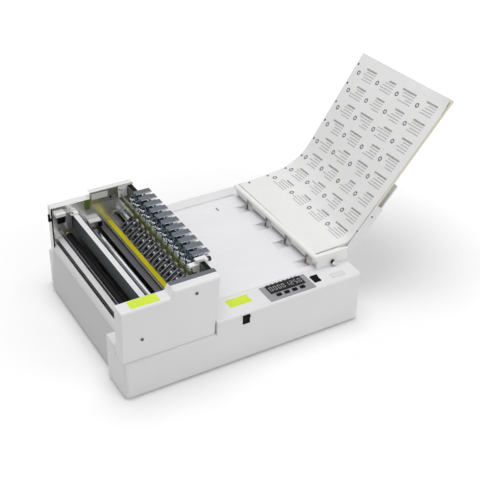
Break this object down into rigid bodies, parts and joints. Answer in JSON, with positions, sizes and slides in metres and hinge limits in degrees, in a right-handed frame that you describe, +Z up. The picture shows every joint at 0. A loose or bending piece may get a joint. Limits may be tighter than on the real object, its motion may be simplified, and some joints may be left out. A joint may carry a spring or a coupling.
{
  "type": "sticker cutting machine",
  "caption": "Desk machine that draws printed label sheets from a steep tray, slits them under a row of knife heads and drops them over an exit chute.",
  "frame": {"origin": "under the middle of the model's box, on the plane that the feet stand on", "axes": "+X from the exit chute to the feed tray, +Y from the front with the controls to the back, +Z up"},
  "size_m": [0.7528, 0.4138, 0.4028],
  "materials": {
    "case_white": "fine satin",
    "tray_cream": "fine satin",
    "side_steel": "brushed",
    "guide_white": "satin",
    "beam_alu": "bright top",
    "bright_steel": "polished",
    "roller_black": "smooth",
    "roller_grey": "ground",
    "wheel_rubber": "matt",
    "guard_yellow": "satin",
    "scale_olive": "satin",
    "anvil_steel": "ground",
    "head_steel": "blued",
    "arm_steel": "dull",
    "bush_brass": "turned",
    "motor_metal": "satin",
    "belt_rubber": "matt",
    "feet_rubber": "matt",
    "panel_grey": "satin",
    "key_black": "satin",
    "knob_dark": "turned",
    "sheet_paper": "printed",
    "electronics": "satin",
    "base_grey": "satin",
    "screw_steel": "dull"
  },
  "bodies": {
    "chassis": {"main_case": "case_white", "bottom_plate": "base_grey", "rubber_feet": "feet_rubber", "deck_plate": "case_white", "front_cover": "case_white", "rear_cover": "case_white", "exit_chute": "case_white", "front_side_plate": "side_steel", "rear_side_plate": "side_steel", "sheet_guides": "guide_white", "cross_beam": "beam_alu", "blade_guard": "guard_yellow", "cutting_anvil": "anvil_steel", "stay_rods": "bright_steel", "head_rail": "anvil_steel", "scale_bar": "scale_olive", "bearings": "bush_brass", "gear_motors": "motor_metal", "drive_belt": "belt_rubber", "control_panel": "panel_grey", "feed_tray": "tray_cream", "control_electronics": "electronics", "mains_inlet": "key_black", "screws": "screw_steel"},
    "upper_exit_roller": {"upper_exit_roller": "roller_black"},
    "lower_exit_roller": {"lower_exit_roller": "roller_black"},
    "pinch_roller": {"pinch_roller": "bright_steel"},
    "drive_roller": {"drive_roller": "roller_grey"},
    "feed_shaft": {"feed_shaft": "wheel_rubber"},
    "strip_rocker": {"strip_rocker": "key_black"},
    "front_rocker": {"front_rocker": "key_black"},
    "side_guide": {"side_guide": "case_white"},
    "tray_knob": {"tray_knob": "knob_dark"},
    "sheet_stack": {"sheet_stack": "sheet_paper"},
    "button_1": {"button_1": "key_black"},
    "button_2": {"button_2": "key_black"},
    "button_3": {"button_3": "key_black"},
    "button_4": {"button_4": "key_black"},
    "knife_head_1": {"knife_head_1": "head_steel"},
    "knife_arm_1": {"knife_arm_1": "arm_steel"},
    "knife_head_2": {"knife_head_2": "head_steel"},
    "knife_arm_2": {"knife_arm_2": "arm_steel"},
    "knife_head_3": {"knife_head_3": "head_steel"},
    "knife_arm_3": {"knife_arm_3": "arm_steel"},
    "knife_head_4": {"knife_head_4": "head_steel"},
    "knife_arm_4": {"knife_arm_4": "arm_steel"},
    "knife_head_5": {"knife_head_5": "head_steel"},
    "knife_arm_5": {"knife_arm_5": "arm_steel"},
    "knife_head_6": {"knife_head_6": "head_steel"},
    "knife_arm_6": {"knife_arm_6": "arm_steel"},
    "knife_head_7": {"knife_head_7": "head_steel"},
    "knife_arm_7": {"knife_arm_7": "arm_steel"},
    "knife_head_8": {"knife_head_8": "head_steel"},
    "knife_arm_8": {"knife_arm_8": "arm_steel"},
    "knife_head_9": {"knife_head_9": "head_steel"},
    "knife_arm_9": {"knife_arm_9": "arm_steel"},
    "knife_head_10": {"knife_head_10": "head_steel"},
    "knife_arm_10": {"knife_arm_10": "arm_steel"},
    "knife_head_11": {"knife_head_11": "head_steel"},
    "knife_arm_11": {"knife_arm_11": "arm_steel"}
  },
  "joints": [
    {"name": "drive_roller_spin", "type": "hinge", "parent": "chassis", "child": "drive_roller", "pos_m": [-0.26636, 0.00193, 0.1015], "axis": [0, 1, 0], "continuous": true},
    {"name": "lower_exit_spin", "type": "hinge", "parent": "chassis", "child": "lower_exit_roller", "pos_m": [-0.32236, 0.00193, 0.1015], "axis": [0, 1, 0], "continuous": true},
    {"name": "upper_exit_spin", "type": "hinge", "parent": "chassis", "child": "upper_exit_roller", "pos_m": [-0.32236, 0.00193, 0.1209], "axis": [0, 1, 0], "continuous": true},
    {"name": "pinch_roller_spin", "type": "hinge", "parent": "chassis", "child": "pinch_roller", "pos_m": [-0.26636, 0.00193, 0.1179], "axis": [0, 1, 0], "continuous": true},
    {"name": "feed_shaft_spin", "type": "hinge", "parent": "chassis", "child": "feed_shaft", "pos_m": [0.09564, 0.00193, 0.1013], "axis": [0, 1, 0], "continuous": true},
    {"name": "knife_head_1_slide", "type": "slide", "parent": "chassis", "child": "knife_head_1", "axis": [0, 1, 0], "range_m": [-0.00365, 0.00365]},
    {"name": "knife_arm_1_lift", "type": "hinge", "parent": "knife_head_1", "child": "knife_arm_1", "pos_m": [-0.18936, -0.10807, 0.153], "axis": [0, 1, 0], "range_deg": [0, 8]},
    {"name": "knife_head_2_slide", "type": "slide", "parent": "chassis", "child": "knife_head_2", "axis": [0, 1, 0], "range_m": [-0.00365, 0.00365]},
    {"name": "knife_arm_2_lift", "type": "hinge", "parent": "knife_head_2", "child": "knife_arm_2", "pos_m": [-0.18936, -0.08357, 0.153], "axis": [0, 1, 0], "range_deg": [0, 8]},
    {"name": "knife_head_3_slide", "type": "slide", "parent": "chassis", "child": "knife_head_3", "axis": [0, 1, 0], "range_m": [-0.00365, 0.00365]},
    {"name": "knife_arm_3_lift", "type": "hinge", "parent": "knife_head_3", "child": "knife_arm_3", "pos_m": [-0.18936, -0.05907, 0.153], "axis": [0, 1, 0], "range_deg": [0, 8]},
    {"name": "knife_head_4_slide", "type": "slide", "parent": "chassis", "child": "knife_head_4", "axis": [0, 1, 0], "range_m": [-0.00365, 0.00365]},
    {"name": "knife_arm_4_lift", "type": "hinge", "parent": "knife_head_4", "child": "knife_arm_4", "pos_m": [-0.18936, -0.03457, 0.153], "axis": [0, 1, 0], "range_deg": [0, 8]},
    {"name": "knife_head_5_slide", "type": "slide", "parent": "chassis", "child": "knife_head_5", "axis": [0, 1, 0], "range_m": [-0.00365, 0.00365]},
    {"name": "knife_arm_5_lift", "type": "hinge", "parent": "knife_head_5", "child": "knife_arm_5", "pos_m": [-0.18936, -0.01007, 0.153], "axis": [0, 1, 0], "range_deg": [0, 8]},
    {"name": "knife_head_6_slide", "type": "slide", "parent": "chassis", "child": "knife_head_6", "axis": [0, 1, 0], "range_m": [-0.00365, 0.00365]},
    {"name": "knife_arm_6_lift", "type": "hinge", "parent": "knife_head_6", "child": "knife_arm_6", "pos_m": [-0.18936, 0.01443, 0.153], "axis": [0, 1, 0], "range_deg": [0, 8]},
    {"name": "knife_head_7_slide", "type": "slide", "parent": "chassis", "child": "knife_head_7", "axis": [0, 1, 0], "range_m": [-0.00365, 0.00365]},
    {"name": "knife_arm_7_lift", "type": "hinge", "parent": "knife_head_7", "child": "knife_arm_7", "pos_m": [-0.18936, 0.03893, 0.153], "axis": [0, 1, 0], "range_deg": [0, 8]},
    {"name": "knife_head_8_slide", "type": "slide", "parent": "chassis", "child": "knife_head_8", "axis": [0, 1, 0], "range_m": [-0.00365, 0.00365]},
    {"name": "knife_arm_8_lift", "type": "hinge", "parent": "knife_head_8", "child": "knife_arm_8", "pos_m": [-0.18936, 0.06343, 0.153], "axis": [0, 1, 0], "range_deg": [0, 8]},
    {"name": "knife_head_9_slide", "type": "slide", "parent": "chassis", "child": "knife_head_9", "axis": [0, 1, 0], "range_m": [-0.00365, 0.00365]},
    {"name": "knife_arm_9_lift", "type": "hinge", "parent": "knife_head_9", "child": "knife_arm_9", "pos_m": [-0.18936, 0.08793, 0.153], "axis": [0, 1, 0], "range_deg": [0, 8]},
    {"name": "knife_head_10_slide", "type": "slide", "parent": "chassis", "child": "knife_head_10", "axis": [0, 1, 0], "range_m": [-0.00365, 0.00365]},
    {"name": "knife_arm_10_lift", "type": "hinge", "parent": "knife_head_10", "child": "knife_arm_10", "pos_m": [-0.18936, 0.11243, 0.153], "axis": [0, 1, 0], "range_deg": [0, 8]},
    {"name": "knife_head_11_slide", "type": "slide", "parent": "chassis", "child": "knife_head_11", "axis": [0, 1, 0], "range_m": [-0.00365, 0.00365]},
    {"name": "knife_arm_11_lift", "type": "hinge", "parent": "knife_head_11", "child": "knife_arm_11", "pos_m": [-0.18936, 0.13693, 0.153], "axis": [0, 1, 0], "range_deg": [0, 8]},
    {"name": "button_1_press", "type": "slide", "parent": "chassis", "child": "button_1", "axis": [0, 0, -1], "range_m": [0, 0.001], "stiffness_N_per_m": 300},
    {"name": "button_2_press", "type": "slide", "parent": "chassis", "child": "button_2", "axis": [0, 0, -1], "range_m": [0, 0.001], "stiffness_N_per_m": 300},
    {"name": "button_3_press", "type": "slide", "parent": "chassis", "child": "button_3", "axis": [0, 0, -1], "range_m": [0, 0.001], "stiffness_N_per_m": 300},
    {"name": "button_4_press", "type": "slide", "parent": "chassis", "child": "button_4", "axis": [0, 0, -1], "range_m": [0, 0.001], "stiffness_N_per_m": 300},
    {"name": "strip_rocker_tilt", "type": "hinge", "parent": "chassis", "child": "strip_rocker", "pos_m": [0.04364, -0.17357, 0.108], "axis": [1, 0, 0], "range_deg": [-16, 0]},
    {"name": "front_rocker_tilt", "type": "hinge", "parent": "chassis", "child": "front_rocker", "pos_m": [-0.12836, -0.20007, 0.096], "axis": [1, 0, 0], "range_deg": [-16, 0]},
    {"name": "side_guide_slide", "type": "slide", "parent": "chassis", "child": "side_guide", "axis": [0, -1, 0], "range_m": [0, 0.03]},
    {"name": "tray_knob_turn", "type": "hinge", "parent": "chassis", "child": "tray_knob", "pos_m": [0.09964, -0.14807, 0.1185], "axis": [0, 1, 0], "range_deg": [0, 180]},
    {"name": "sheet_stack_lift", "type": "slide", "parent": "chassis", "child": "sheet_stack", "axis": [0, 0, 1], "range_m": [0, 0.15]}
  ],
  "couplings": [
    {"joint": "lower_exit_spin", "follows": "drive_roller_spin", "ratio": 1},
    {"joint": "upper_exit_spin", "follows": "drive_roller_spin", "ratio": -1.1111},
    {"joint": "pinch_roller_spin", "follows": "drive_roller_spin", "ratio": -1.6667}
  ]
}
